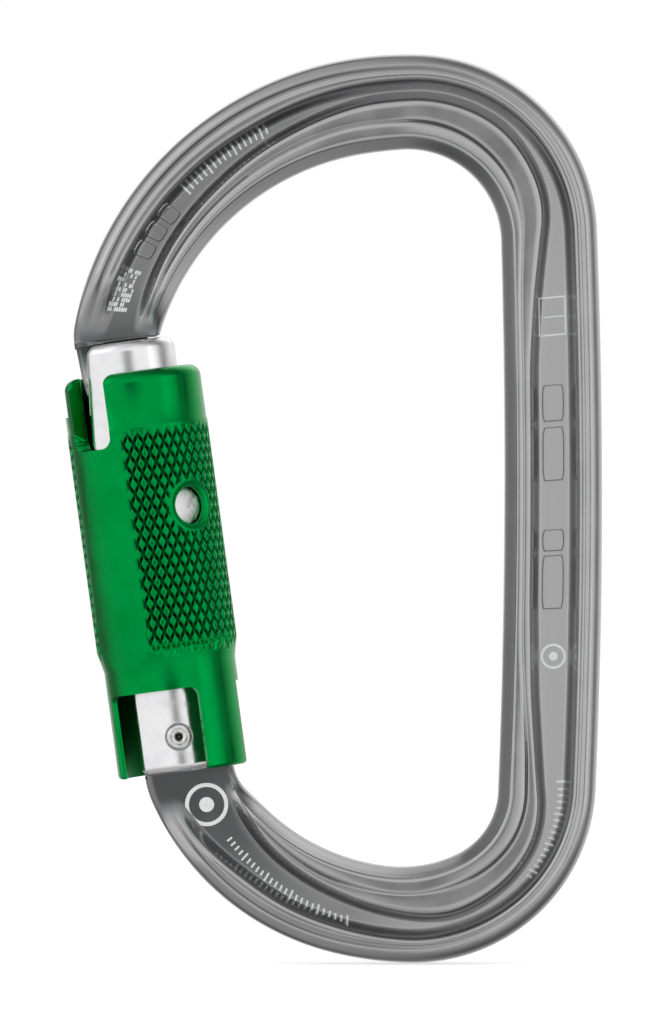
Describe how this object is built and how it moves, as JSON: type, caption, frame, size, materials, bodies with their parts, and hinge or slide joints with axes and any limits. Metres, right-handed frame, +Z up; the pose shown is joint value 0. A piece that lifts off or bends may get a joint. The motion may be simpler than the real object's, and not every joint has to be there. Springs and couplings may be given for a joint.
{
  "type": "locking carabiner",
  "caption": "Asymmetric D locking carabiner: forged H-section aluminium frame, keylock gate and a knurled auto-locking sleeve held by a recessed press pin.",
  "frame": {"origin": "inner apex of the top basket, where the rope bears, at mid thickness", "axes": "+Z up along the length of the D, +X towards the spine, front face towards -Y"},
  "size_m": [0.0682, 0.018, 0.1153],
  "materials": {
    "frame_metal": "satin grey anodised hot-forged aluminium",
    "gate_metal": "polished bare aluminium",
    "sleeve_metal": "green anodised aluminium, diamond knurled",
    "bush": "moulded black acetal",
    "rivet_steel": "pressed stainless steel rivet head",
    "pin_steel": "turned stainless steel with a domed face",
    "spring_wire": "drawn spring wire",
    "steel": "ground steel"
  },
  "bodies": {
    "frame": {"frame": "frame_metal"},
    "gate": {"gate": "gate_metal", "hinge_rivet": "rivet_steel", "gate_spring": "spring_wire", "upper_bush": "bush", "lower_bush": "bush", "retaining_ring": "steel", "sleeve_spring": "spring_wire", "stop_pin": "steel", "lock_pin_spring": "spring_wire"},
    "plunger": {"gate_plunger": "steel"},
    "sleeve": {"sleeve": "sleeve_metal"},
    "lock_pin": {"lock_pin": "pin_steel"}
  },
  "joints": [
    {"name": "gate_swing", "type": "hinge", "parent": "frame", "child": "gate", "pos_m": [-0.0283, 0, -0.0746], "axis": [0, 1, 0], "range_deg": [0, 50], "stiffness_Nm_per_rad": 0.2, "springref_deg": -34.38},
    {"name": "plunger_slide", "type": "slide", "parent": "gate", "child": "plunger", "axis": [-0.1352, 0, 0.9908], "range_m": [0, 0.0015], "deforming": ["gate_spring"]},
    {"name": "sleeve_turn", "type": "hinge", "parent": "gate", "child": "sleeve", "pos_m": [-0.0283, 0, -0.0746], "axis": [0.1352, 0, -0.9908], "range_deg": [0, 47], "stiffness_Nm_per_rad": 0.02, "springref_deg": -45.84, "deforming": ["sleeve_spring"]},
    {"name": "lock_pin_press", "type": "slide", "parent": "gate", "child": "lock_pin", "axis": [-0.6369, 0.766, -0.0869], "range_m": [0, 0.0016], "stiffness_N_per_m": 300, "springref_m": -0.002, "deforming": ["lock_pin_spring"]}
  ],
  "couplings": [
    {"joint": "plunger_slide", "follows": "gate_swing", "m_per_rad": 0.0016}
  ]
}
